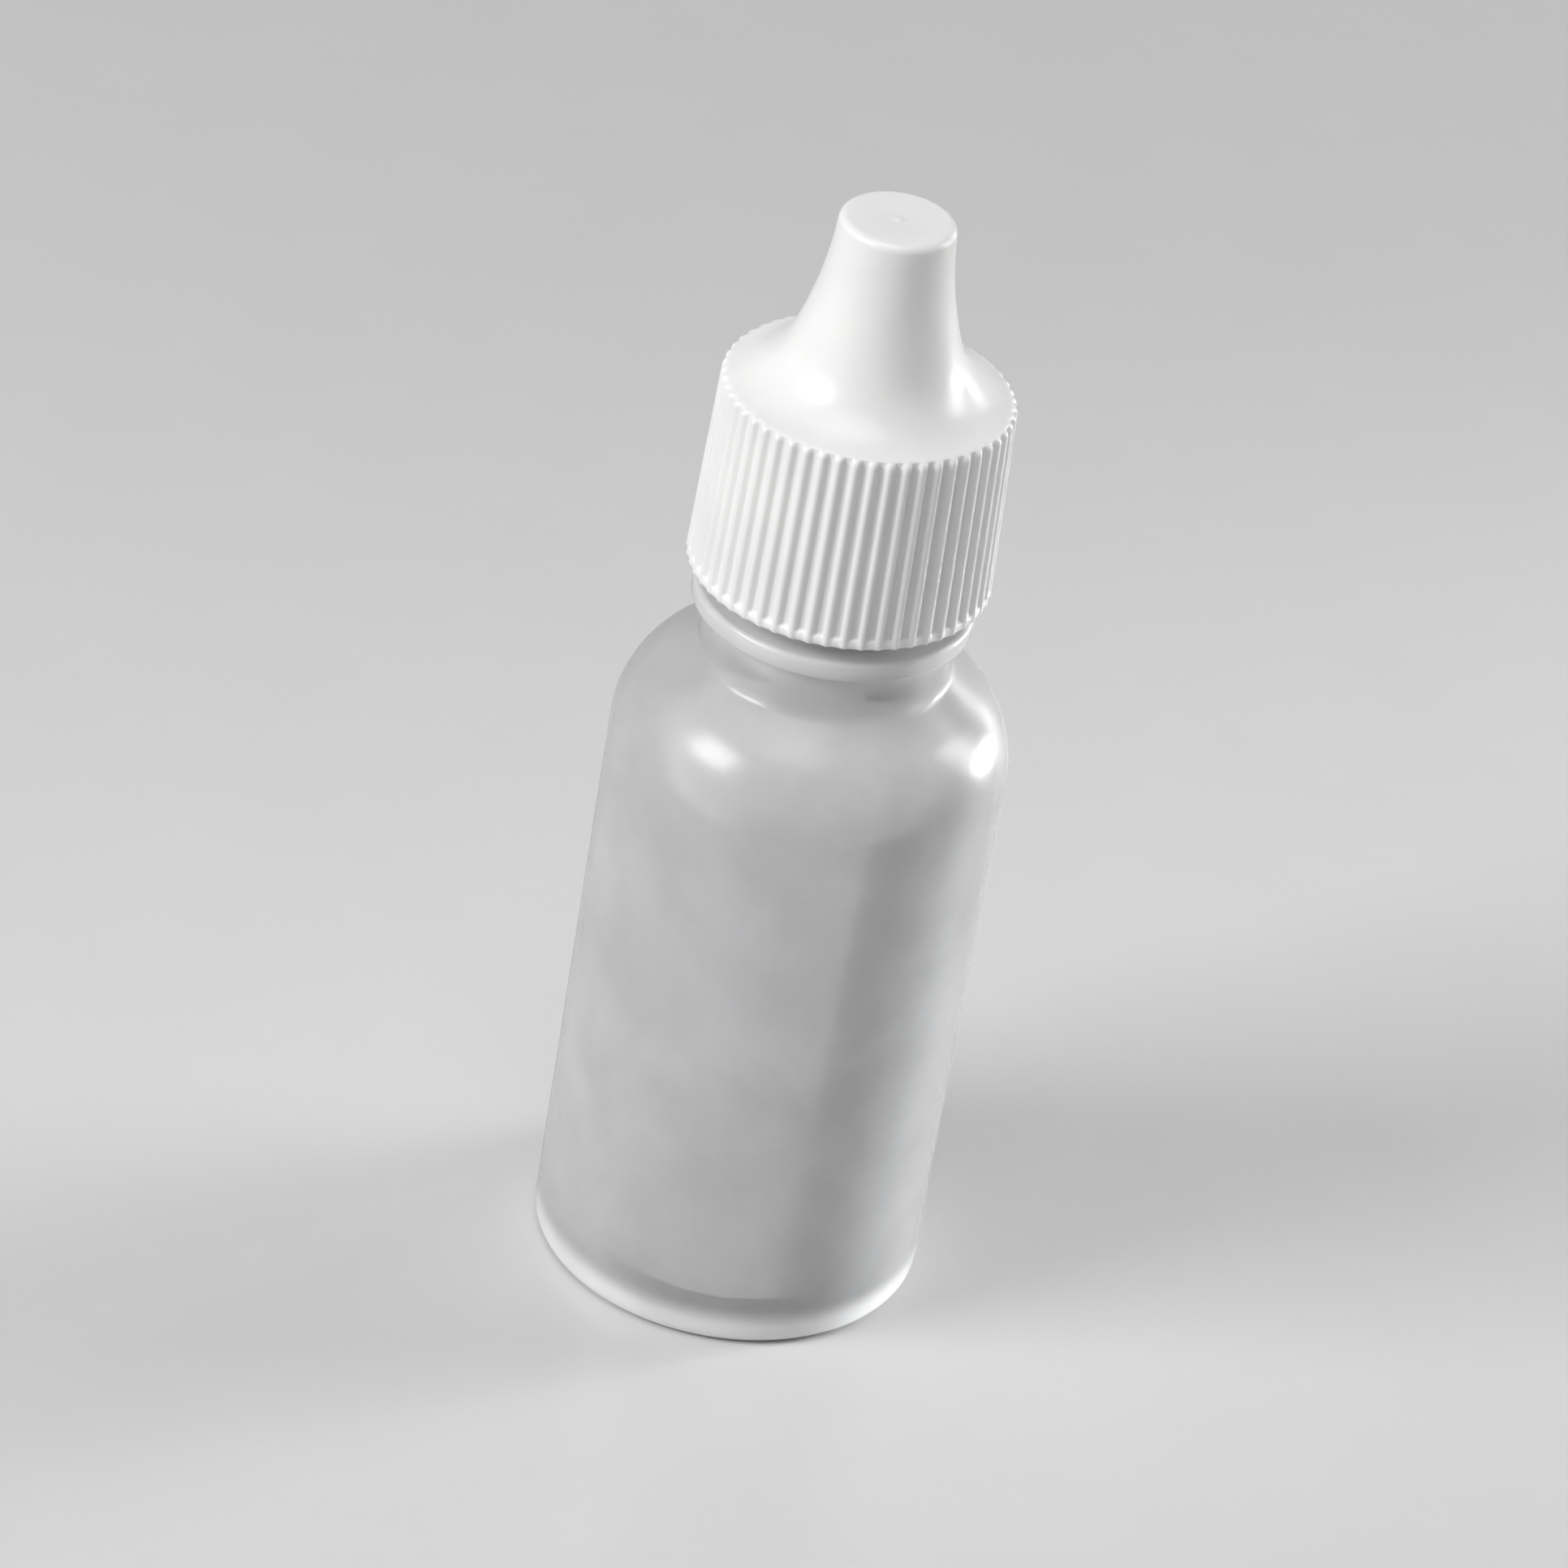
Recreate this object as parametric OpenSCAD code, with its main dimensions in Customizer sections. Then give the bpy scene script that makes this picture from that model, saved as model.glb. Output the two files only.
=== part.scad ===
// Eye drop bottle: a blown bottle with a translucent wall, a dropper tip that plugs its neck, and a ribbed
// screw cap whose hollow spout covers the nozzle. The origin is the middle of the foot, with Z up.

/* [Bottle] */
// Outer diameter of the body
body_d = 23; // [19:0.5:30]
// Height of the straight side, from the foot to the start of the shoulder
side_h = 35; // [20:0.5:60]
// Thickness of the blown wall
wall_t = 0.9; // [0.6:0.05:1.4]
// Thickness of the floor
floor_t = 1.2; // [0.8:0.1:2]
// Radius of the heel, where the side turns in to the foot
heel_r = 0.8; // [0.4:0.1:2]
// Rise of the middle of the floor above the foot ring
push_up = 0.6; // [0.3:0.1:1.2]
// Width of the ring that the bottle stands on
foot_w = 1.6; // [1:0.1:3]
// Slope of the shoulder's upper part, measured from level
shoulder_slope = 38; // [25:1:50]
// Radius of the shoulder's round edge
shoulder_r = 6.2; // [2:0.1:9]

/* [Neck] */
// Root diameter of the neck's screw finish
finish_d = 12.9; // [11:0.1:16]
// Height of the screw finish, from the top of the collar to the lip
finish_h = 10.1; // [8:0.1:14]
// Height of the screw ridge
thread_h = 0.7; // [0.5:0.05:1]
// Thickness of the neck round the dropper tip
neck_wall_t = 1.25; // [1:0.05:1.6]
// Step from the finish out to the plain neck below the collar
neck_step = 0.85; // [0.5:0.05:1.5]
// Thickness of the plain neck below the collar
plain_neck_t = 1.1; // [0.8:0.05:1.4]
// Radius of the fillet where the neck stands on the shoulder
neck_fillet_r = 0.8; // [0.4:0.1:1.5]
// Height of the plain neck between its fillet and the collar
plain_neck_h = 2.55; // [1:0.05:5]
// Height of the collar
collar_h = 1.25; // [1:0.05:2]
// Overhang of the collar beyond the plain neck
collar_step = 0.8; // [0.5:0.05:1.5]
// Bevel on the collar's upper edge
collar_bevel = 0.35; // [0.1:0.05:0.5]

/* [Dropper tip] */
// Depth of the plug inside the neck
plug_h = 6.2; // [4:0.1:8]
// Thickness of the plug's wall
plug_wall_t = 0.95; // [0.7:0.05:1.3]
// Height of the plug's sealing beads above its side
bead_h = 0.12; // [0.05:0.01:0.2]
// Gap between the sealing beads and the neck
plug_gap = 0.02; // [0.01:0.01:0.1]
// Thickness of the flange that sits on the lip
flange_t = 0.9; // [0.6:0.05:1.4]
// Height of the nozzle above the flange
nozzle_h = 11.8; // [9:0.1:15]
// Outer diameter of the nozzle's end
nozzle_d = 3.2; // [2.6:0.1:4]
// Diameter of the orifice that meters the drop
orifice_d = 0.6; // [0.3:0.05:1]
// Diameter of the outlet that the drop forms in
outlet_d = 1.9; // [1.4:0.1:2.2]

/* [Cap] */
// Gap between the collar and the edge of the closed cap
cap_lift = 1.3; // [0.5:0.1:3]
// Play between the screw ridge and the cap
thread_gap = 0.15; // [0.1:0.01:0.3]
// Thickness of the skirt between the ribs, at its edge
skirt_t = 1.17; // [1:0.01:1.6]
// Height of the rounded rim above the dropper tip's flange
rim_rise = 1.9; // [1:0.1:4]
// Draft of the skirt
draft = 1.87; // [0.5:0.01:3]
// Number of grip ribs
rib_count = 54; // [36:1:64]
// Height of the ribs
rib_h = 0.28; // [0.15:0.01:0.4]
// Width of a rib at its foot
rib_w = 0.62; // [0.58:0.01:0.8]
// Height of the band between the ribs' lower ends
band_h = 0.6; // [0.3:0.1:1.5]
// Depth of that band below the ribs' crests
band_step = 0.1; // [0.05:0.01:0.2]
// Radius of the sweep from the rim up to the spout
sweep_r = 4.65; // [3.5:0.05:5.5]
// Radius of the spout's slightly hollow side
spout_r = 25.5; // [20:0.5:40]
// Thickness of the sweep and the spout
spout_t = 1.1; // [0.9:0.05:1.4]
// Thickness of the spout's end
spout_end_t = 1.25; // [0.9:0.05:1.8]
// Gap between the spout's side and the edge of the nozzle's end
nozzle_gap = 0.67; // [0.3:0.01:1.5]
// Gap between the nozzle's end and the inside of the closed spout
seal_gap = 0.05; // [0.02:0.01:0.2]
// Length of the pin that stops the nozzle
pin_h = 1.6; // [1:0.1:2]
// Gap between the pin and the outlet
pin_gap = 0.05; // [0.02:0.01:0.1]

/* [Hidden] */
$fn = 96;
// Longest step along an arc, as an angle and as a length
arc_step = 9;
arc_length = 1;
// How far a cutting shape runs past what it cuts
overrun = 1;

// Angles of the outline's normals, measured from level
shoulder_normal = 90 - shoulder_slope;
rim_normal = 76;

body_r = body_d / 2;
finish_r = finish_d / 2;
neck_bore_r = finish_r - neck_wall_t;
neck_r = finish_r + neck_step;
neck_inner_r = neck_r - plain_neck_t;
collar_r = neck_r + collar_step;
// The round edge takes at most this share of the shoulder's overhang
shoulder_share = 0.8;
shoulder_arc_r = min(shoulder_r, shoulder_share * (body_r - neck_r) / (1 - cos(shoulder_normal)));
shoulder_x = body_r - shoulder_arc_r;

// Height of a fillet's centre, where it joins the shoulder's cone to a neck of the given radius
function fillet_z(arc_r, neck, fillet) =
    side_h + arc_r * sin(shoulder_normal)
    + (fillet - cos(shoulder_normal) * (neck + fillet - shoulder_x - arc_r * cos(shoulder_normal)))
    / sin(shoulder_normal);

neck_z = fillet_z(shoulder_arc_r, neck_r, neck_fillet_r);
collar_z = neck_z + plain_neck_h;
finish_z = collar_z + collar_h;
lip_z = finish_z + finish_h;
lip_edge_r = 0.3;
bore_z = finish_z + 0.8;

plug_r = neck_bore_r - plug_gap - bead_h;
plug_inner_r = plug_r - plug_wall_t;
flange_r = finish_r - 0.35;
flange_edge_r = 0.2;
flange_z = lip_z + flange_t;
nozzle_r = nozzle_d / 2;
nozzle_z = flange_z + nozzle_h;
nozzle_edge_r = 0.4;
nozzle_wall_t = 0.95;
// The nozzle's foot is a hollow sweep that turns into a slim cone
nozzle_foot_r = 2.2;
cone_foot_r = 2.55;
cone_normal = 6;
// Depth of the outlet below the pin, and length of the orifice
outlet_spare_h = 0.3;
orifice_h = 2;
// The beads' places along the plug, and the chamfer at its end
bead_places = [0.3, 0.7];
plug_lead = 0.4;

cap_z = finish_z + cap_lift;
bore_r = finish_r + thread_h + thread_gap;
cap_r = bore_r + skirt_t + rib_h;
rim_edge_r = 0.4;
rim_z = flange_z + rim_rise;
skirt_h = rim_z - cap_z;
rim_x = cap_r - skirt_h * tan(draft) - rim_edge_r;
edge_r = 0.25;
lead_in_w = 0.35;
lead_in_h = 0.6;
inner_corner = 0.5;
sweep_x = rim_x + (rim_edge_r + sweep_r) * cos(rim_normal);
sweep_z = rim_z + (rim_edge_r + sweep_r) * sin(rim_normal);
inner_end_z = nozzle_z + seal_gap;
cap_top_z = inner_end_z + spout_end_t;
// The spout's arc runs on from the sweep, and its inside passes the nozzle's end at the named gap:
// its centre is where a circle round the sweep's centre meets one round that inner end
inner_end = [nozzle_r + nozzle_gap - sweep_x, inner_end_z - sweep_z];
centre_gap = spout_r - sweep_r;
centre_reach = (norm(inner_end) ^ 2 + centre_gap ^ 2 - (spout_r + spout_t) ^ 2) / (2 * norm(inner_end));
spout_foot_normal = atan2(inner_end[1], inner_end[0]) - acos(centre_reach / centre_gap);
spout_x = sweep_x + centre_gap * cos(spout_foot_normal);
spout_z = sweep_z + centre_gap * sin(spout_foot_normal);
spout_edge_r = 0.5;
spout_top_normal = asin((spout_z - cap_top_z + spout_edge_r) / (spout_r + spout_edge_r));
spout_edge_x = spout_x - (spout_r + spout_edge_r) * cos(spout_top_normal);
pin_r = outlet_d / 2 - pin_gap;
// The pin's nose narrows to this share of its radius over the same share of its length
pin_nose = 0.6;
// Radius of a rib of the given width and height, and how far the outline trims its crest
rib_radius = (rib_w * rib_w / 4 + rib_h * rib_h) / (2 * rib_h);
rib_trim = 0.03;

// Points of an arc about [x, z], from angle a0 to angle a1
function arc(x, z, r, a0, a1) =
    let (angle = abs(a1 - a0), n = max(2, ceil(angle / arc_step), ceil(angle * PI / 180 * r / arc_length)))
    [for (i = [0:n]) let (a = a0 + (a1 - a0) * i / n) [x + r * cos(a), z + r * sin(a)]];

// Round shoulder edge, sloping shoulder and neck fillet, for the outside or the inside of the wall
function shoulder(arc_r, neck, fillet) = concat(
    arc(shoulder_x, side_h, arc_r, 0, shoulder_normal),
    arc(neck + fillet, fillet_z(arc_r, neck, fillet), fillet, 180 + shoulder_normal, 180)
);

// Blown bottle with a pushed-up floor, a collar and a plain finish that carries the screw ridge
module bottle() {
    foot_in_r = body_r - heel_r - foot_w;
    outside = concat(
        [[0, push_up], [foot_in_r - push_up, push_up], [foot_in_r, 0]],
        arc(body_r - heel_r, heel_r, heel_r, -90, 0),
        shoulder(shoulder_arc_r, neck_r, neck_fillet_r),
        [[neck_r, collar_z]],
        arc(collar_r - edge_r, collar_z + edge_r, edge_r, -90, 0),
        [[collar_r, finish_z - collar_bevel - edge_r]],
        [[collar_r - collar_bevel, finish_z], [finish_r, finish_z]],
        arc(finish_r - lip_edge_r, lip_z - lip_edge_r, lip_edge_r, 0, 90),
        [[0, lip_z]]
    );
    inside = concat(
        [[0, push_up + floor_t], [foot_in_r - push_up, push_up + floor_t]],
        arc(body_r - wall_t - 2 * heel_r, floor_t + 2 * heel_r, 2 * heel_r, -90, 0),
        shoulder(shoulder_arc_r - wall_t, neck_inner_r, neck_fillet_r + wall_t),
        [[neck_inner_r, finish_z - collar_h / 2], [neck_bore_r, bore_z]],
        [[neck_bore_r, lip_z - lip_edge_r], [neck_bore_r + lip_edge_r, lip_z]],
        [[neck_bore_r + lip_edge_r, lip_z + overrun], [0, lip_z + overrun]]
    );
    color([0.83, 0.84, 0.85])
    difference() {
        rotate_extrude() polygon(outside);
        rotate_extrude() polygon(inside);
    }
}

// Outline points of a bead round the plug, about the height z
function bead(z) = [
    [plug_r, z - 2 * bead_h],
    [plug_r + bead_h, z - bead_h],
    [plug_r + bead_h, z + bead_h],
    [plug_r, z + 2 * bead_h]
];

// Plug with two sealing beads, flange and nozzle, bored from a wide throat to a fine orifice
module dropper_tip() {
    plug_z = lip_z - plug_h;
    cone_foot_z = flange_z + nozzle_foot_r;
    outlet_z = nozzle_z - pin_h - outlet_spare_h;
    orifice_top_z = outlet_z - (outlet_d - orifice_d) / 2;
    side = concat(
        [[plug_inner_r, plug_z], [plug_r - plug_lead / 2, plug_z], [plug_r, plug_z + plug_lead]],
        [for (place = bead_places) each bead(plug_z + plug_h * place)],
        [[plug_r, lip_z], [flange_r, lip_z]],
        arc(flange_r - flange_edge_r, flange_z - flange_edge_r, flange_edge_r, 0, 90),
        arc(cone_foot_r + nozzle_foot_r, cone_foot_z, nozzle_foot_r, 270, 180 + cone_normal),
        arc(nozzle_r - nozzle_edge_r, nozzle_z - nozzle_edge_r, nozzle_edge_r, cone_normal, 90)
    );
    channel = [
        [outlet_d / 2, nozzle_z],
        [outlet_d / 2, outlet_z],
        [orifice_d / 2, orifice_top_z],
        [orifice_d / 2, orifice_top_z - orifice_h],
        [cone_foot_r - nozzle_wall_t, cone_foot_z],
        [plug_inner_r, lip_z - flange_t]
    ];
    color([0.93, 0.93, 0.92])
    rotate_extrude() polygon(concat(side, channel));
}

// Outline through the crests of the ribs, from the skirt's edge to the end of the spout
function cap_outline() = concat(
    [[0, cap_z]],
    arc(cap_r - edge_r, cap_z + edge_r, edge_r, -90, 0),
    arc(rim_x, rim_z, rim_edge_r, draft, rim_normal),
    arc(sweep_x, sweep_z, sweep_r, 180 + rim_normal, 180 + spout_foot_normal),
    arc(spout_x, spout_z, spout_r, 180 + spout_foot_normal, 180 + spout_top_normal),
    arc(spout_edge_x, cap_top_z - spout_edge_r, spout_edge_r, spout_top_normal, 90),
    [[0, cap_top_z]]
);

// Outline of the hollow: thread bore, inside of the sweep and the spout, and the space round the pin
function hollow_outline() =
    let (
        sweep_inner_r = sweep_r + spout_t,
        sweep_start = acos((sweep_x - bore_r + inner_corner) / sweep_inner_r),
        corner_z = sweep_z - sweep_inner_r * sin(sweep_start),
        spout_inner_r = spout_r + spout_t,
        spout_end = asin((spout_z - inner_end_z) / spout_inner_r)
    )
    concat(
        [[0, cap_z - overrun], [bore_r + lead_in_w, cap_z - overrun], [bore_r + lead_in_w, cap_z]],
        [[bore_r, cap_z + lead_in_h], [bore_r, corner_z - inner_corner]],
        arc(sweep_x, sweep_z, sweep_inner_r, 180 + sweep_start, 180 + spout_foot_normal),
        arc(spout_x, spout_z, spout_inner_r, 180 + spout_foot_normal, 180 + spout_end),
        [[pin_r, inner_end_z], [pin_r, inner_end_z - pin_h * pin_nose]],
        [[pin_r * pin_nose, inner_end_z - pin_h], [0, inner_end_z - pin_h]]
    );

// Grip rib along the drafted skirt, standing on the cone between the ribs
module rib() {
    translate([cap_r + rib_trim, 0, cap_z])
        rotate([0, -draft, 0])
            translate([-rib_radius, 0, -overrun])
                cylinder(r = rib_radius, h = skirt_h + 2 * overrun, $fn = 32);
}

// One-piece cap: the ribbed skirt is trimmed to the outline, then hollowed out round the neck and the nozzle
module cap() {
    core_z = cap_z - overrun;
    core_h = cap_top_z - core_z + overrun;
    core_r = cap_r - rib_h + overrun * tan(draft);
    color([0.95, 0.95, 0.94])
    difference() {
        intersection() {
            rotate_extrude() polygon(cap_outline());
            union() {
                translate([0, 0, core_z])
                    cylinder(r1 = core_r, r2 = core_r - core_h * tan(draft), h = core_h);
                translate([0, 0, core_z])
                    cylinder(r = cap_r - band_step, h = band_h + overrun);
                for (i = [0:rib_count - 1])
                    rotate([0, 0, (i + 0.5) * 360 / rib_count])
                        rib();
            }
        }
        rotate_extrude() polygon(hollow_outline());
    }
}

bottle();
dropper_tip();
cap();
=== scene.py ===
import math

import bpy
import numpy as np
from mathutils import Matrix, Vector


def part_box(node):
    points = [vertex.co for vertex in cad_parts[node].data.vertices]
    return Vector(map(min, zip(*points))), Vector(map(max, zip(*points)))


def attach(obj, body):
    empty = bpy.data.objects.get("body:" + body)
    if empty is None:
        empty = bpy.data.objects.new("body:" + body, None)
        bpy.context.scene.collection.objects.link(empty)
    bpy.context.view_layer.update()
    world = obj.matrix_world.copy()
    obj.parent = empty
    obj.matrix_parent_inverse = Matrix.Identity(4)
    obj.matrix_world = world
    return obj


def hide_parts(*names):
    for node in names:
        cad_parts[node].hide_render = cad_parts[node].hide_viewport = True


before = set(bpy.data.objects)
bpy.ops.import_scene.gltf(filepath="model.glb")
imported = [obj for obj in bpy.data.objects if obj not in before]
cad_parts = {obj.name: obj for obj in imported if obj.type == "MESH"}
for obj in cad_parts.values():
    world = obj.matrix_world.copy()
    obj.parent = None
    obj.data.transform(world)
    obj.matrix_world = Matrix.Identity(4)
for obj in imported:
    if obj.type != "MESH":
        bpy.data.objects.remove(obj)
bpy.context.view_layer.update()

# Eye drop bottle: a blown bottle with a milky wall, a dropper tip in its neck and a ribbed screw cap.
# Lengths in the piece functions are in millimetres, and solid() turns them to metres.

MM = 0.001

# What the frame gives
BODY_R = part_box("bottle")[1].x / MM
LIP_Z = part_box("bottle")[1].z / MM
PLUG_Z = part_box("dropper_tip")[0].z / MM
NOZZLE_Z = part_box("dropper_tip")[1].z / MM
CAP_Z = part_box("cap")[0].z / MM
CAP_TOP_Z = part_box("cap")[1].z / MM
CAP_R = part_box("cap")[1].x / MM

# Bottle
WALL_T = 0.9
FLOOR_T = 1.2
HEEL_R = 0.8
PUSH_UP = 0.6
FOOT_W = 1.6
SHOULDER_Z = 35.0
SHOULDER_R = 6.2
SHOULDER_NORMAL = 52.0
NECK_R = 7.3
NECK_WALL_T = 1.1
NECK_FILLET_R = 0.8
COLLAR_H = 1.25
COLLAR_STEP = 0.8
COLLAR_BEVEL = 0.35
FINISH_R = 6.45
FINISH_H = 10.1
BORE_R = 5.2
LIP_EDGE_R = 0.3
BORE_FOOT_H = 0.8
EDGE_R = 0.25
FINISH_Z = LIP_Z - FINISH_H
COLLAR_Z = FINISH_Z - COLLAR_H
COLLAR_R = NECK_R + COLLAR_STEP

# Right-hand screw ridge on the neck and in the cap: 12 threads an inch
LEAD = 25.4 / 12
THREAD_H = 0.7
THREAD_GAP = 0.15
RIDGE_FOOT_W = 1.05
RIDGE_CREST_W = 0.35
RIDGE_RAMP = 0.08
NECK_THREAD_Z = FINISH_Z + 4.4
NECK_TURNS = (0.0, 1.75)
CAP_TURNS = (-0.9, 0.85)

# Dropper tip
PLUG_WALL_T = 0.95
PLUG_R = 5.06
PLUG_EDGE_R = 0.25
BEAD_H = 0.12
BEAD_PLACES = (0.3, 0.7)
FLANGE_T = 0.9
FLANGE_R = 6.1
FLANGE_EDGE_R = 0.2
NOZZLE_R = 1.6
NOZZLE_EDGE_R = 0.4
NOZZLE_FOOT_R = 2.2
CONE_FOOT_R = 2.55
CONE_NORMAL = 6.0
NOZZLE_WALL_T = 0.95
OUTLET_R = 0.95
OUTLET_H = 1.9
ORIFICE_R = 0.3
ORIFICE_H = 2.0
FLANGE_Z = LIP_Z + FLANGE_T

# Cap
DRAFT = 1.87
RIB_COUNT = 54
RIB_H = 0.28
RIB_W = 0.62
RIB_FOOT_R = 0.05
BAND_H = 0.6
BAND_STEP = 0.1
LEDGE_H = 0.25
RIM_RISE = 1.9
RIM_EDGE_R = 0.4
RIM_NORMAL = 76.0
SWEEP_R = 4.65
SPOUT_R = 25.5
SPOUT_T = 1.1
SPOUT_FOOT_NORMAL = 20.0
SPOUT_EDGE_R = 0.5
SPOUT_END_T = 1.25
CAP_BORE_R = FINISH_R + THREAD_H + THREAD_GAP
LEAD_IN_W = 0.35
LEAD_IN_H = 0.6
INNER_CORNER = 0.5
PIN_H = 1.6
PIN_R = 0.9
PIN_NOSE = 0.6
SINK_R = 2.0
SINK_DEPTH = 0.09
GATE_R = 0.28
GATE_H = 0.07
RIM_Z = FLANGE_Z + RIM_RISE
SKIRT_H = RIM_Z - CAP_Z

# Distance of the support rows from an outline's corners, and the longest step between rows
SUPPORT = 0.12
LONGEST = 1.6

# Rows and columns of the meshes, and the share of the pitch that a rib's columns take
NECK_THREAD_ROWS = 76
CAP_THREAD_ROWS = 50
BEAD_ROWS = 60
BOTTLE_COLUMNS = 192
TIP_COLUMNS = 128
RIB_COLUMNS = 9
RIB_SPREAD = 0.82

# Two lengths in millimetres that differ by less than this are the same
NEAR = 1e-6


def arc(x, z, radius, start, end, step=4.0):
    """Points of a circle's arc about (x, z): x + radius cos a, z + radius sin a, for a from start to end."""
    count = max(3, math.ceil(abs(end - start) / step) + 1)
    angle = np.radians(np.linspace(start, end, count))
    return np.stack([x + radius * np.cos(angle), z + radius * np.sin(angle)], axis=1)


def rows_between(p, q, count):
    """Evenly spaced points from p to q: p + t (q - p), for t from 0 to 1."""
    t = np.linspace(0, 1, count)[:, None]
    return np.asarray(p) + t * (np.asarray(q) - np.asarray(p))


def outline(*parts):
    """Joins arcs and corner points. Each straight stretch between two parts gets a support row close to both
    of its ends and even rows in between, so that the flat stays flat in the shading."""
    parts = [np.atleast_2d(np.asarray(part, float)) for part in parts]
    joined = [parts[0]]
    for before, after in zip(parts, parts[1:]):
        p, q = before[-1], after[0]
        length = np.hypot(*(q - p))
        if length > 4 * SUPPORT:
            count = max(2, math.ceil((length - 2 * SUPPORT) / LONGEST) + 1)
            t = np.linspace(SUPPORT, length - SUPPORT, count)[:, None] / length
            joined.append(p + t * (q - p))
        joined.append(after[1:] if length < NEAR else after)
    return np.concatenate(joined)


def turned(profile, angles):
    """Grid of a surface of revolution: point i, j is (r cos a, r sin a, z), with r and z from row i of the
    profile and a from column j."""
    r, z = (np.repeat(profile[:, k, None], len(angles), axis=1) for k in (0, 1))
    return r, np.broadcast_to(angles, r.shape), z


def solid(name, r, angle, z, open_ends=False):
    """Closed mesh of a grid in cylinder coordinates, whose columns run round the axis. The first and last
    rows lie on the axis and become poles, or with open_ends the last row joins the first. Faces look outward
    when the profile runs round the section anticlockwise, as seen with the axis on the left."""
    rows, columns = r.shape
    grid = np.stack([r * np.cos(angle), r * np.sin(angle), z], axis=2) * MM
    i = np.arange(columns)
    j = np.roll(i, -1)
    if open_ends:
        points = grid.reshape(-1, 3)
        a = (np.arange(rows) * columns)[:, None]
        b = np.roll(a, -1)
        quads = np.stack([a + i, a + j, b + j, b + i], axis=2).reshape(-1, 4)
        fans = np.zeros((0, 3), int)
    else:
        points = np.concatenate([grid[:1, 0], grid[1:-1].reshape(-1, 3), grid[-1:, 0]])
        a = (1 + np.arange(rows - 3) * columns)[:, None]
        b = a + columns
        quads = np.stack([a + i, a + j, b + j, b + i], axis=2).reshape(-1, 4)
        last = len(points) - 1
        top = last - columns
        fans = np.concatenate([
            np.stack([0 * i, 1 + j, 1 + i], axis=1),
            np.stack([last + 0 * i, top + i, top + j], axis=1),
        ])
    mesh = bpy.data.meshes.new(name)
    corners = np.concatenate([quads.ravel(), fans.ravel()])
    sizes = np.concatenate([np.full(len(quads), 4), np.full(len(fans), 3)])
    mesh.vertices.add(len(points))
    mesh.vertices.foreach_set("co", points.ravel())
    mesh.loops.add(len(corners))
    mesh.loops.foreach_set("vertex_index", corners)
    mesh.polygons.add(len(sizes))
    mesh.polygons.foreach_set("loop_start", np.concatenate([[0], np.cumsum(sizes)[:-1]]))
    mesh.polygons.foreach_set("use_smooth", np.ones(len(sizes), bool))
    mesh.update(calc_edges=True)
    mesh.validate()
    piece = bpy.data.objects.new(name, mesh)
    bpy.context.scene.collection.objects.link(piece)
    return piece


def smooth_step(t):
    """0 below 0, 1 above 1, and 3 t^2 - 2 t^3 in between."""
    t = np.clip(t, 0, 1)
    return t * t * (3 - 2 * t)


def screw_ridge(angle, z, start_z, turns):
    """Height of a right-hand ridge: its middle climbs by the lead in each turn from start_z, its section is a
    trapezium with rounded corners, and both its ends ramp down to nothing."""
    climbed = (z - start_z) / LEAD - angle / (2 * math.pi)
    turn = np.round(climbed)
    beside = np.abs(climbed - turn) * LEAD
    along = angle / (2 * math.pi) + turn
    section = smooth_step((RIDGE_FOOT_W / 2 - beside) / ((RIDGE_FOOT_W - RIDGE_CREST_W) / 2))
    ends = smooth_step((along - turns[0]) / RIDGE_RAMP) * smooth_step((turns[1] - along) / RIDGE_RAMP)
    return THREAD_H * section * ends


def even_columns(count):
    """Angles of evenly spaced columns."""
    return np.arange(count) * (2 * math.pi / count)


def shoulder(radius, neck, fillet):
    """Round shoulder edge, sloping shoulder and neck fillet, for the outside or the inside of the wall. The
    fillet's centre lies where the cone that leaves the edge touches it."""
    centre_x = BODY_R - SHOULDER_R
    normal = math.radians(SHOULDER_NORMAL)
    reach = neck + fillet - centre_x - radius * math.cos(normal)
    fillet_z = SHOULDER_Z + radius * math.sin(normal) + (fillet - math.cos(normal) * reach) / math.sin(normal)
    return (
        arc(centre_x, SHOULDER_Z, radius, 0, SHOULDER_NORMAL),
        arc(neck + fillet, fillet_z, fillet, 180 + SHOULDER_NORMAL, 180, step=7),
    )


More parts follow.
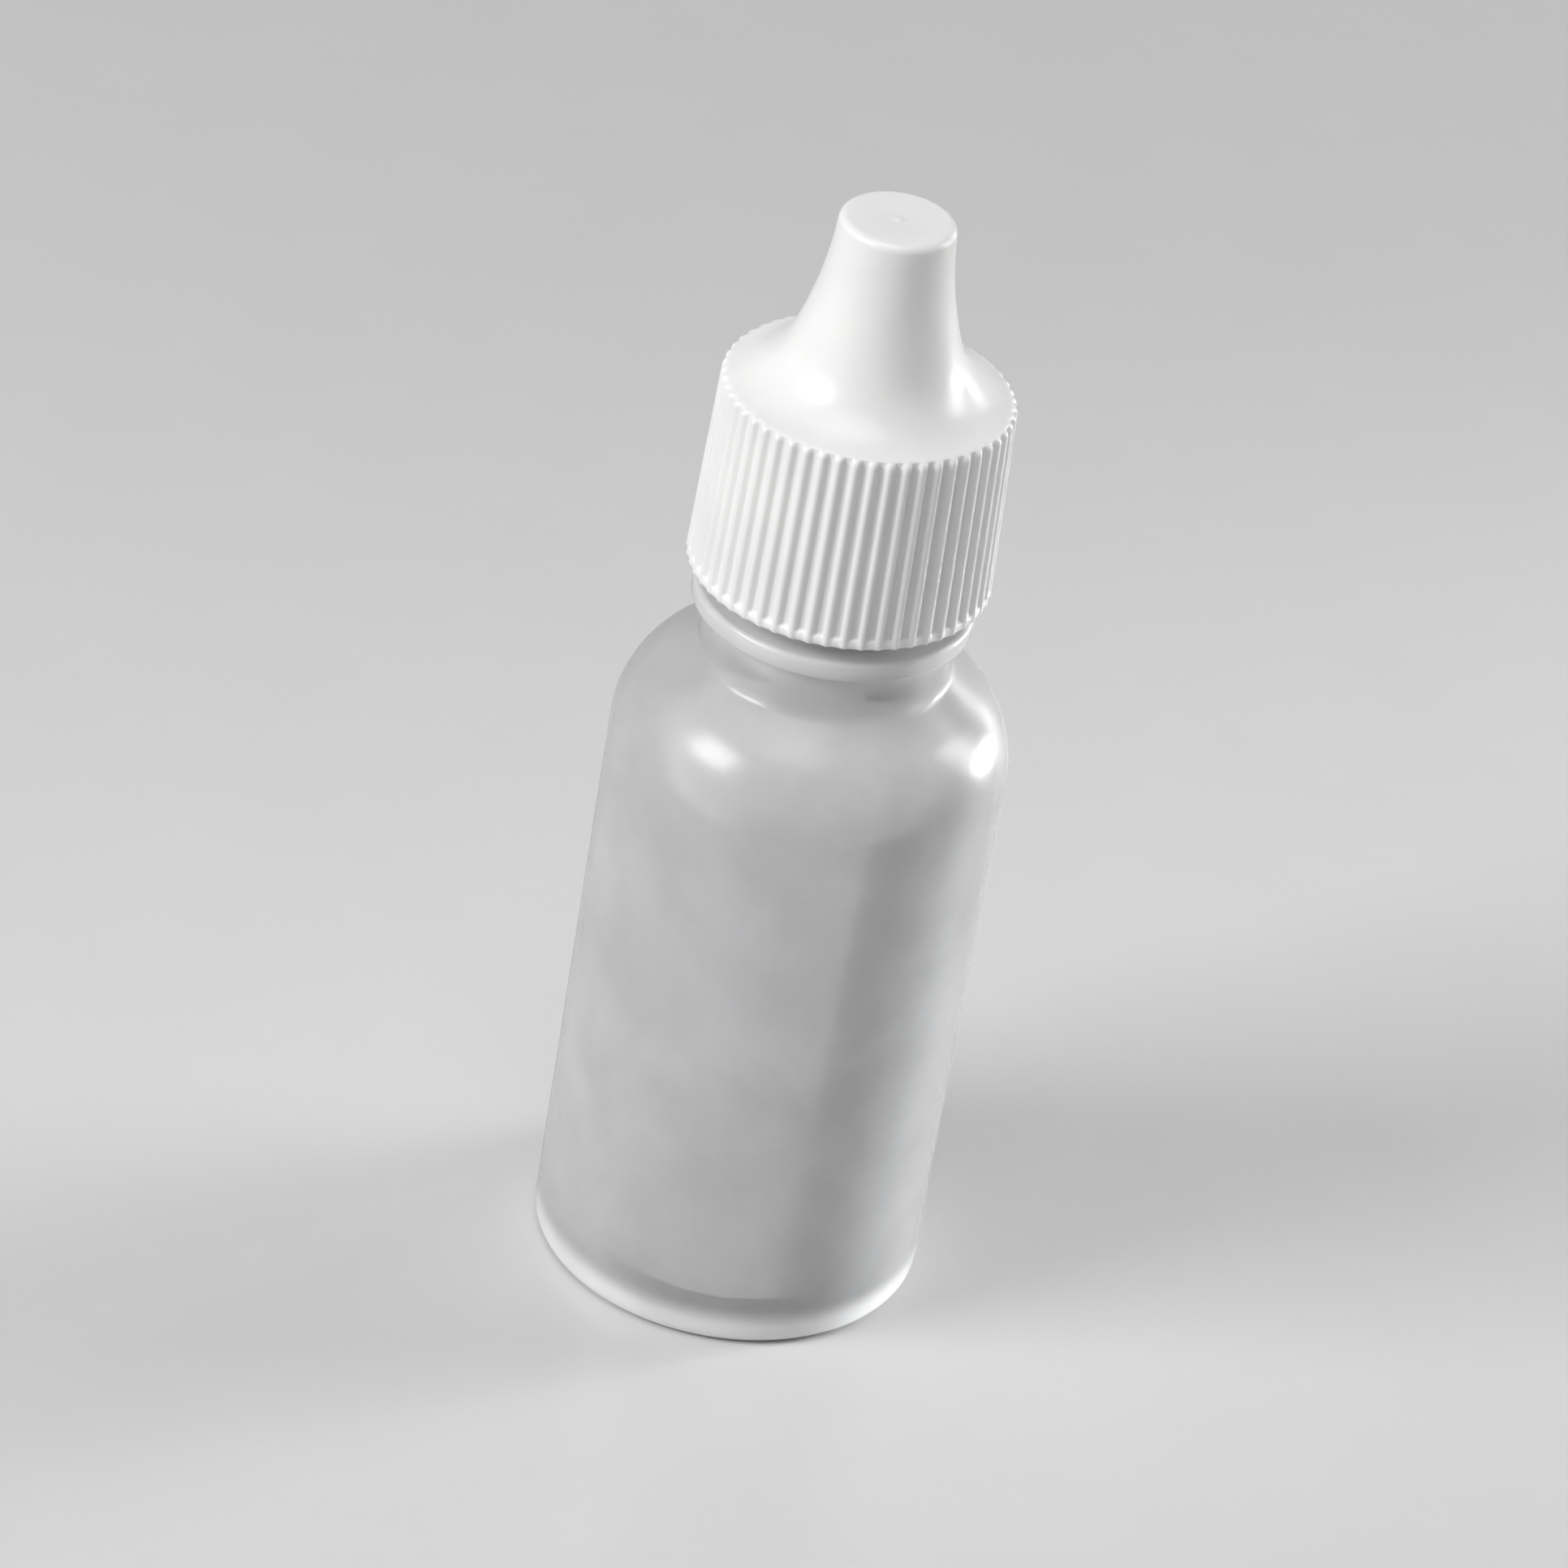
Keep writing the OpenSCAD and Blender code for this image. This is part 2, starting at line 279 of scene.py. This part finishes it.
def bottle():
    """Blown bottle: one closed profile, from the middle of the base up the outside to the lip and down the
    inside to the floor, turned about the axis. The screw ridge is added to the radius of the finish."""
    foot_in_r = BODY_R - HEEL_R - FOOT_W
    soft_r = PUSH_UP / 2
    thread_low = NECK_THREAD_Z - RIDGE_FOOT_W
    thread_high = NECK_THREAD_Z + NECK_TURNS[1] * LEAD + RIDGE_FOOT_W
    inner_neck_r = NECK_R - NECK_WALL_T
    inner_heel_r = 2 * HEEL_R
    profile = outline(
        [0, PUSH_UP],
        arc(foot_in_r - 2 * soft_r, PUSH_UP - soft_r, soft_r, 90, 0, step=12),
        arc(foot_in_r, soft_r, soft_r, 180, 270, step=12),
        arc(BODY_R - HEEL_R, HEEL_R, HEEL_R, 270, 360, step=7),
        *shoulder(SHOULDER_R, NECK_R, NECK_FILLET_R),
        [NECK_R, COLLAR_Z],
        arc(COLLAR_R - EDGE_R, COLLAR_Z + EDGE_R, EDGE_R, -90, 0, step=12),
        arc(COLLAR_R - COLLAR_BEVEL, FINISH_Z - COLLAR_BEVEL, COLLAR_BEVEL, 0, 90, step=12),
        arc(FINISH_R + EDGE_R, FINISH_Z + EDGE_R, EDGE_R, 270, 180, step=15),
        rows_between([FINISH_R, thread_low], [FINISH_R, thread_high], NECK_THREAD_ROWS),
        arc(FINISH_R - LIP_EDGE_R, LIP_Z - LIP_EDGE_R, LIP_EDGE_R, 0, 90, step=12),
        arc(BORE_R + LIP_EDGE_R, LIP_Z - LIP_EDGE_R, LIP_EDGE_R, 90, 180, step=15),
        [BORE_R, FINISH_Z + BORE_FOOT_H],
        [inner_neck_r, FINISH_Z - COLLAR_H / 2],
        np.concatenate(shoulder(SHOULDER_R - WALL_T, inner_neck_r, NECK_FILLET_R + WALL_T))[::-1],
        arc(BODY_R - WALL_T - inner_heel_r, FLOOR_T + inner_heel_r, inner_heel_r, 0, -90, step=7),
        [0, PUSH_UP + FLOOR_T],
    )
    r, angle, z = turned(profile, even_columns(BOTTLE_COLUMNS))
    on_finish = (np.abs(r - FINISH_R) < NEAR) & (z > thread_low) & (z < thread_high)
    r = r + on_finish * screw_ridge(angle, z, NECK_THREAD_Z, NECK_TURNS)
    return solid("bottle_blown", r, angle, z)


def dropper_tip():
    """Dropper tip: one closed profile, up the plug and the nozzle and down the channel, turned about the
    axis. Two sealing beads swell the plug by a rounded bump each."""
    cone_foot_z = FLANGE_Z + NOZZLE_FOOT_R
    outlet_z = NOZZLE_Z - OUTLET_H
    orifice_z = outlet_z - (OUTLET_R - ORIFICE_R)
    plug_h = LIP_Z - PLUG_Z
    profile = outline(
        [PLUG_R - PLUG_WALL_T, PLUG_Z],
        arc(PLUG_R - PLUG_EDGE_R, PLUG_Z + PLUG_EDGE_R, PLUG_EDGE_R, -90, 0, step=15),
        rows_between([PLUG_R, PLUG_Z + 2 * PLUG_EDGE_R], [PLUG_R, LIP_Z - 2 * PLUG_EDGE_R], BEAD_ROWS),
        [PLUG_R, LIP_Z],
        [FLANGE_R, LIP_Z],
        arc(FLANGE_R - FLANGE_EDGE_R, FLANGE_Z - FLANGE_EDGE_R, FLANGE_EDGE_R, 0, 90, step=12),
        arc(CONE_FOOT_R + NOZZLE_FOOT_R, cone_foot_z, NOZZLE_FOOT_R, 270, 180 + CONE_NORMAL),
        arc(NOZZLE_R - NOZZLE_EDGE_R, NOZZLE_Z - NOZZLE_EDGE_R, NOZZLE_EDGE_R, CONE_NORMAL, 90, step=9),
        [OUTLET_R, NOZZLE_Z],
        [OUTLET_R, outlet_z],
        [ORIFICE_R, orifice_z],
        [ORIFICE_R, orifice_z - ORIFICE_H],
        [CONE_FOOT_R - NOZZLE_WALL_T, cone_foot_z],
        [PLUG_R - PLUG_WALL_T, LIP_Z - FLANGE_T],
    )
    for share in BEAD_PLACES:
        beside = np.abs(profile[:, 1] - PLUG_Z - share * plug_h) / (2 * BEAD_H)
        profile[:, 0] += (profile[:, 0] > PLUG_R - NEAR) * BEAD_H * smooth_step(2 - 2 * beside)
    r, angle, z = turned(profile, even_columns(TIP_COLUMNS))
    return solid("dropper_tip_moulded", r, angle, z, open_ends=True)


def grooves(angle, r, z):
    """Depth of the grip grooves below the line through the ribs' crests. A rib is a round bump, so the depth
    at a distance x from its middle is R - sqrt(R^2 - x^2), and it goes no deeper than the groove's floor: the
    skirt's core cone, and the shallow band at the skirt's edge, with a quarter-round ledge between them."""
    rib_r = (RIB_W**2 / 4 + RIB_H**2) / (2 * RIB_H)
    pitch = 2 * math.pi / RIB_COUNT
    beside = ((angle / pitch) % 1 - 0.5) * pitch * r
    round_side = rib_r - np.sqrt(np.maximum(rib_r**2 - beside**2, 0))
    core_r = CAP_R - RIB_H - (z - CAP_Z) * math.tan(math.radians(DRAFT))
    rise = np.clip((z - CAP_Z - BAND_H) / LEDGE_H, 0, 1)
    deepest = BAND_STEP + (RIB_H - BAND_STEP) * np.sqrt(1 - (1 - rise) ** 2)
    floor = np.minimum(np.clip(r - core_r, 0, RIB_H), deepest)
    return softer_least(round_side, floor, RIB_FOOT_R)


def softer_least(a, b, reach):
    """Lesser of a and b, with a rounded corner where they differ by less than reach, and never below 0."""
    share = np.maximum(reach - np.abs(a - b), 0) / reach
    return np.maximum(np.minimum(a, b) - share * share * reach / 4, 0)


def cap():
    """One-piece cap: one closed profile, from the end of the spout down the outside to the skirt's edge and
    up the inside to the pin, turned about the axis. Grooves are cut into the skirt's radius, and the screw
    ridge is taken off the bore's."""
    rim_x = CAP_R - SKIRT_H * math.tan(math.radians(DRAFT)) - RIM_EDGE_R
    rim_normal = math.radians(RIM_NORMAL)
    sweep_x = rim_x + (RIM_EDGE_R + SWEEP_R) * math.cos(rim_normal)
    sweep_z = RIM_Z + (RIM_EDGE_R + SWEEP_R) * math.sin(rim_normal)
    foot_normal = math.radians(SPOUT_FOOT_NORMAL)
    spout_x = sweep_x + (SPOUT_R - SWEEP_R) * math.cos(foot_normal)
    spout_z = sweep_z + (SPOUT_R - SWEEP_R) * math.sin(foot_normal)
    top_normal = math.degrees(math.asin((spout_z - CAP_TOP_Z + SPOUT_EDGE_R) / (SPOUT_R + SPOUT_EDGE_R)))
    edge_x = spout_x - (SPOUT_R + SPOUT_EDGE_R) * math.cos(math.radians(top_normal))
    inner_end_z = CAP_TOP_Z - SPOUT_END_T
    sweep_inner_r = SWEEP_R + SPOUT_T
    sweep_start = math.degrees(math.acos((sweep_x - CAP_BORE_R + INNER_CORNER) / sweep_inner_r))
    corner_z = sweep_z - sweep_inner_r * math.sin(math.radians(sweep_start))
    spout_inner_r = SPOUT_R + SPOUT_T
    spout_end = math.degrees(math.asin((spout_z - inner_end_z) / spout_inner_r))
    thread_z = NECK_THREAD_Z + LEAD / 2
    thread_low = thread_z + CAP_TURNS[0] * LEAD - RIDGE_FOOT_W
    thread_high = thread_z + CAP_TURNS[1] * LEAD + RIDGE_FOOT_W
    skirt_low = CAP_Z + EDGE_R
    ledge_z = CAP_Z + BAND_H + LEDGE_H * (1 - np.cos(np.linspace(0, math.pi / 2, 6)))
    ledge_rows = np.stack([CAP_R - (ledge_z - CAP_Z) * math.tan(math.radians(DRAFT)), ledge_z], axis=1)
    profile = outline(
        rows_between([0, CAP_TOP_Z], [GATE_R, CAP_TOP_Z], 5),
        rows_between([2 * GATE_R, CAP_TOP_Z], [SINK_R, CAP_TOP_Z], 9),
        arc(edge_x, CAP_TOP_Z - SPOUT_EDGE_R, SPOUT_EDGE_R, 90, top_normal, step=9),
        arc(spout_x, spout_z, SPOUT_R, 180 + top_normal, 180 + SPOUT_FOOT_NORMAL, step=2),
        arc(sweep_x, sweep_z, SWEEP_R, 180 + SPOUT_FOOT_NORMAL, 180 + RIM_NORMAL, step=3),
        arc(rim_x, RIM_Z, RIM_EDGE_R, RIM_NORMAL, DRAFT, step=8),
        ledge_rows[::-1],
        arc(CAP_R - EDGE_R, skirt_low, EDGE_R, 0, -90, step=15),
        [CAP_BORE_R + LEAD_IN_W, CAP_Z],
        [CAP_BORE_R, CAP_Z + LEAD_IN_H],
        rows_between([CAP_BORE_R, thread_low], [CAP_BORE_R, thread_high], CAP_THREAD_ROWS),
        [CAP_BORE_R, corner_z - INNER_CORNER],
        arc(sweep_x, sweep_z, sweep_inner_r, 180 + sweep_start, 180 + SPOUT_FOOT_NORMAL, step=5),
        arc(spout_x, spout_z, spout_inner_r, 180 + SPOUT_FOOT_NORMAL, 180 + spout_end, step=3),
        [PIN_R, inner_end_z],
        [PIN_R, inner_end_z - PIN_H * PIN_NOSE],
        [PIN_R * PIN_NOSE, inner_end_z - PIN_H],
        [0, inner_end_z - PIN_H],
    )
    outer = np.arange(len(profile)) <= np.argmin(profile[:, 1])
    share = np.linspace(-RIB_SPREAD / 2, RIB_SPREAD / 2, RIB_COLUMNS)
    angles = ((np.arange(RIB_COUNT)[:, None] + 0.5 + share) * (2 * math.pi / RIB_COUNT)).ravel()
    r, angle, z = turned(profile, angles)
    end = outer[:, None] & (z > CAP_TOP_Z - NEAR)
    sink = SINK_DEPTH * smooth_step(1 - r / SINK_R)
    gate = GATE_H * smooth_step(2 - 2 * r / GATE_R)
    skirt = outer[:, None] & (z < RIM_Z + RIM_EDGE_R + SWEEP_R / 2)
    in_bore = ~outer[:, None] & (np.abs(r - CAP_BORE_R) < NEAR) & (z > thread_low) & (z < thread_high)
    cut = skirt * grooves(angle, r, z) + in_bore * screw_ridge(angle, z, thread_z, CAP_TURNS)
    z = z - end * sink + end * gate
    return solid("cap_moulded", r - cut, angle, z)


def colour(code):
    """Linear colour of an sRGB hex code: each channel is ((c + 0.055) / 1.055) ^ 2.4, or c / 12.92 near 0."""
    channels = [int(code[k:k + 2], 16) / 255 for k in (1, 3, 5)]
    linear = [c / 12.92 if c < 0.04045 else ((c + 0.055) / 1.055) ** 2.4 for c in channels]
    return (*linear, 1.0)


def add(tree, kind, inputs=None, **settings):
    """Adds a node with its settings. Its inputs, by name or number, are values or sockets to link."""
    node = tree.nodes.new(kind)
    for name, value in settings.items():
        setattr(node, name, value)
    for name, value in (inputs or {}).items():
        if isinstance(value, bpy.types.NodeSocket):
            tree.links.new(value, node.inputs[name])
        else:
            node.inputs[name].default_value = value
    return node


def new_material(name):
    """Empty node material with its tree and the object's own coordinates, in metres."""
    material = bpy.data.materials.new(name)
    material.use_nodes = True
    tree = material.node_tree
    tree.nodes.clear()
    place = add(tree, "ShaderNodeTexCoord").outputs["Object"]
    return material, tree, place


def noise(tree, place, size, detail=2.0):
    """Noise whose grains are about size millimetres across."""
    inputs = {"Vector": place, "Scale": 1 / (size * MM), "Detail": detail}
    return add(tree, "ShaderNodeTexNoise", inputs).outputs["Fac"]


def between(tree, share, low, high, clear=0.25):
    """Value from low to high as the noise goes from clear above its least to clear below its most."""
    inputs = {"Value": share, "From Min": clear, "From Max": 1 - clear, "To Min": low, "To Max": high}
    return add(tree, "ShaderNodeMapRange", inputs).outputs["Result"]


# Milky wall: the height that the heel's haze reaches, how thin the plastic counts at the heel and at the neck
# against 1 for the wall, and the shares of light that the wall spreads inwards and lets straight through
HEEL_HAZE_H = 2.3 * FLOOR_T
HEEL_THINNESS = 0.05
NECK_THINNESS = 0.25
SPREAD_INWARDS = 0.55
STRAIGHT_THROUGH = 0.45


def milky_polyethylene():
    """Blown low-density polyethylene, undyed: a milky wall that sends part of the light back, spreads part of
    it inwards and lets a little straight through, less where the plastic is thick, at the heel and the neck,
    which look white. Sheen stands for the light that the haze sends out at a glancing angle, so the sides are
    pale. The satin skin of the mould breaks the highlights into a fine grain."""
    material, tree, place = new_material("milky_blown_polyethylene")
    cloud = noise(tree, place, 5.0, detail=3.0)
    tint = add(tree, "ShaderNodeMix", {
        "Factor": between(tree, cloud, 0.0, 1.0), "A": colour("#E9E9EA"), "B": colour("#FBFBFC"),
    }, data_type="RGBA").outputs["Result"]
    peel = add(tree, "ShaderNodeBump", {
        "Height": noise(tree, place, 1.6, detail=1.0), "Strength": 0.25, "Distance": 0.01 * MM,
    })
    skin = add(tree, "ShaderNodeBump", {
        "Height": noise(tree, place, 0.25), "Strength": 0.7, "Distance": 0.008 * MM,
        "Normal": peel.outputs["Normal"],
    }).outputs["Normal"]
    body = add(tree, "ShaderNodeBsdfPrincipled", {
        "Base Color": tint, "Roughness": 0.6, "Specular IOR Level": 0.0, "Normal": skin,
        "Sheen Weight": 1.0, "Sheen Roughness": 0.4,
    })
    glow = add(tree, "ShaderNodeBsdfTranslucent", {"Color": tint, "Normal": skin})
    height = add(tree, "ShaderNodeSeparateXYZ", {"Vector": place}).outputs["Z"]
    above_heel = add(tree, "ShaderNodeMapRange", {
        "Value": height, "From Min": FLOOR_T * MM, "From Max": HEEL_HAZE_H * MM,
        "To Min": HEEL_THINNESS, "To Max": 1.0,
    }, interpolation_type="SMOOTHSTEP").outputs["Result"]
    thin = add(tree, "ShaderNodeMapRange", {
        "Value": height, "From Min": (COLLAR_Z - 2 * COLLAR_H) * MM, "From Max": FINISH_Z * MM,
        "To Min": above_heel, "To Max": NECK_THINNESS,
    }, interpolation_type="SMOOTHSTEP").outputs["Result"]
    inwards = add(tree, "ShaderNodeMapRange", {
        "Value": thin, "To Min": 0.0, "To Max": SPREAD_INWARDS,
    }).outputs["Result"]
    milk = add(tree, "ShaderNodeMixShader", {0: inwards, 1: body.outputs["BSDF"], 2: glow.outputs["BSDF"]})
    facing = add(tree, "ShaderNodeLayerWeight", {"Blend": 0.5}).outputs["Facing"]
    share = add(tree, "ShaderNodeMapRange", {
        "Value": facing, "To Min": STRAIGHT_THROUGH, "To Max": 0.0,
    }).outputs["Result"]
    see_through = add(tree, "ShaderNodeMath", {0: thin, 1: share}, operation="MULTIPLY").outputs["Value"]
    clear = add(tree, "ShaderNodeBsdfTransparent").outputs["BSDF"]
    wall = add(tree, "ShaderNodeMixShader", {0: see_through, 1: milk.outputs["Shader"], 2: clear})
    gloss = add(tree, "ShaderNodeBsdfGlossy", {"Roughness": 0.25, "Normal": skin}).outputs["BSDF"]
    gloss_share = add(tree, "ShaderNodeFresnel", {"IOR": 1.51, "Normal": skin}).outputs["Fac"]
    surface = add(tree, "ShaderNodeMixShader", {0: gloss_share, 1: wall.outputs["Shader"], 2: gloss})
    add(tree, "ShaderNodeOutputMaterial", {"Surface": surface.outputs["Shader"]})
    return material


def natural_polyethylene():
    """Injection-moulded low-density polyethylene of the tip, undyed: a milky white with a satin skin, softer
    and a little greyer than the cap's."""
    material, tree, place = new_material("natural_moulded_polyethylene")
    cloud = noise(tree, place, 2.5)
    tint = add(tree, "ShaderNodeMix", {
        "Factor": between(tree, cloud, 0.0, 1.0), "A": colour("#DCDDDC"), "B": colour("#E6E6E4"),
    }, data_type="RGBA").outputs["Result"]
    bump = add(tree, "ShaderNodeBump", {
        "Height": noise(tree, place, 0.2), "Strength": 0.4, "Distance": 0.003 * MM,
    })
    shader = add(tree, "ShaderNodeBsdfPrincipled", {
        "Base Color": tint,
        "Roughness": 0.34,
        "IOR": 1.51,
        "Subsurface Weight": 0.8,
        "Subsurface Radius": (1.0, 0.98, 0.95),
        "Subsurface Scale": 0.9 * MM,
        "Normal": bump.outputs["Normal"],
    })
    add(tree, "ShaderNodeOutputMaterial", {"Surface": shader.outputs["BSDF"]})
    return material


def white_polypropylene():
    """Injection-moulded polypropylene, dyed white: opaque and bright, with a semi-gloss skin from a polished
    mould, faint waves from its flow, and a little light that bleeds through thin edges."""
    material, tree, place = new_material("white_moulded_polypropylene")
    cloud = noise(tree, place, 4.0)
    tint = add(tree, "ShaderNodeMix", {
        "Factor": between(tree, cloud, 0.0, 1.0), "A": colour("#ECECEC"), "B": colour("#F3F3F2"),
    }, data_type="RGBA").outputs["Result"]
    low = add(tree, "ShaderNodeBump", {
        "Height": noise(tree, place, 2.2, detail=1.0), "Strength": 0.2, "Distance": 0.008 * MM,
    })
    bump = add(tree, "ShaderNodeBump", {
        "Height": noise(tree, place, 0.25), "Strength": 0.25, "Distance": 0.002 * MM,
        "Normal": low.outputs["Normal"],
    })
    shader = add(tree, "ShaderNodeBsdfPrincipled", {
        "Base Color": tint,
        "Roughness": 0.29,
        "IOR": 1.49,
        "Subsurface Weight": 0.35,
        "Subsurface Radius": (1.0, 0.97, 0.93),
        "Subsurface Scale": 0.4 * MM,
        "Normal": bump.outputs["Normal"],
    })
    add(tree, "ShaderNodeOutputMaterial", {"Surface": shader.outputs["BSDF"]})
    return material


def seen(tree):
    """1 for rays from the camera and for those reflected or let through, and 0 for diffuse light."""
    ray = add(tree, "ShaderNodeLightPath").outputs
    inputs = {0: ray["Is Camera Ray"], 1: ray["Is Glossy Ray"]}
    direct = add(tree, "ShaderNodeMath", inputs, operation="MAXIMUM")
    inputs = {0: direct.outputs["Value"], 1: ray["Is Transmission Ray"]}
    return add(tree, "ShaderNodeMath", inputs, operation="MAXIMUM").outputs["Value"]


def pale_board():
    """Pale satin board of the studio table, with a barely mottled coat."""
    material, tree, place = new_material("pale_board")
    tint = add(tree, "ShaderNodeMix", {
        "Factor": noise(tree, place, 9.0), "A": colour("#D4D4D4"), "B": colour("#D7D7D7"),
    }, data_type="RGBA").outputs["Result"]
    shader = add(tree, "ShaderNodeBsdfPrincipled", {"Base Color": tint, "Roughness": 0.25})
    add(tree, "ShaderNodeOutputMaterial", {"Surface": shader.outputs["BSDF"]})
    return material


def finish_piece(piece, body, node, material):
    """Gives a piece its material, and puts it on its body in place of its node."""
    piece.data.materials.append(material)
    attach(piece, body)
    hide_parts(node)


# Studio: the camera's place and turn come from the outlines in the photograph
CAMERA_BACK = 0.3734
CAMERA_HEIGHT = 0.2743
CAMERA_DOWN = 33.0
CAMERA_ASIDE = 0.15
CAMERA_ROLL = 9.75
CAMERA_LENS = 177.6

# Floor's side in metres, and the surround's strength as a light and as seen, where 1 is white
FLOOR_SIDE = 8.0
SURROUND_LIGHT = 0.13
SURROUND_SEEN = 0.75

# Where the lamps point, and the low lamp's height and grid
LAMP_MIDDLE = 0.035
LOW_MIDDLE = 0.006
LOW_SPREAD = 22


def camera():
    """Camera at the photograph's viewing angle: turned about the view, tipped down, then turned aside."""
    data = bpy.data.cameras.new("camera")
    data.sensor_width = 36
    data.lens = CAMERA_LENS
    data.clip_start = 0.01
    made = bpy.data.objects.new("camera", data)
    turn = (
        Matrix.Rotation(math.radians(CAMERA_ASIDE), 4, "Z")
        @ Matrix.Rotation(math.radians(90 - CAMERA_DOWN), 4, "X")
        @ Matrix.Rotation(math.radians(CAMERA_ROLL), 4, "Z")
    )
    made.matrix_world = Matrix.Translation((0, -CAMERA_BACK, CAMERA_HEIGHT)) @ turn
    bpy.context.scene.collection.objects.link(made)
    bpy.context.scene.camera = made


def soft_box(name, aside, up, distance, width, height, watts, middle=LAMP_MIDDLE, spread=180):
    """Soft lamp that faces the bottle's axis at the height middle: aside is the angle round the axis from the
    camera's side to the right, up is the angle above level, and spread is the angle its grid lets out."""
    data = bpy.data.lights.new(name, "AREA")
    data.shape = "RECTANGLE"
    data.size = width
    data.size_y = height
    data.energy = watts
    data.spread = math.radians(spread)
    made = bpy.data.objects.new(name, data)
    a, e = math.radians(aside), math.radians(up)
    towards = Vector((math.sin(a) * math.cos(e), -math.cos(a) * math.cos(e), math.sin(e)))
    turn = towards.to_track_quat("Z", "Y").to_matrix().to_4x4()
    made.matrix_world = Matrix.Translation(Vector((0, 0, middle)) + towards * distance) @ turn
    bpy.context.scene.collection.objects.link(made)


def studio():
    """Pale floor and a pale even surround."""
    scene = bpy.context.scene
    scene.view_settings.view_transform = "Standard"
    side = FLOOR_SIDE / 2
    corners = [(-side, -side, 0), (side, -side, 0), (side, side, 0), (-side, side, 0)]
    mesh = bpy.data.meshes.new("floor")
    mesh.from_pydata(corners, [], [(0, 1, 2, 3)])
    floor = bpy.data.objects.new("floor", mesh)
    floor.data.materials.append(pale_board())
    scene.collection.objects.link(floor)
    world = bpy.data.worlds.new("surround")
    world.use_nodes = True
    tree = world.node_tree
    tree.nodes.clear()
    strength = add(tree, "ShaderNodeMapRange", {
        "Value": seen(tree), "To Min": SURROUND_LIGHT, "To Max": SURROUND_SEEN,
    }).outputs["Result"]
    surround = add(tree, "ShaderNodeBackground", {"Color": colour("#FFFFFF"), "Strength": strength})
    add(tree, "ShaderNodeOutputWorld", {"Surface": surround.outputs["Background"]})
    scene.world = world


def lamps():
    """The key makes the left highlight, the top lamp lights the cap's end and the shoulder, and the right
    lamp lifts the shaded side. The edge lamp and the low gridded one, behind on the right, make the pale
    right edge and the highlight on the right of the shoulder."""
    soft_box("key", -62, 33, 0.55, 0.24, 0.21, 2.0)
    soft_box("top", -20, 74, 0.6, 0.35, 0.35, 1.15)
    soft_box("right", 112, 20, 0.5, 0.13, 0.22, 0.8)
    soft_box("edge", 141, 6, 0.55, 0.06, 0.3, 0.45)
    soft_box("low", 122, 4, 0.35, 0.12, 0.05, 0.043, middle=LOW_MIDDLE, spread=LOW_SPREAD)


finish_piece(bottle(), "bottle", "bottle", milky_polyethylene())
finish_piece(dropper_tip(), "dropper_tip", "dropper_tip", natural_polyethylene())
finish_piece(cap(), "cap", "cap", white_polypropylene())
camera()
studio()
lamps()
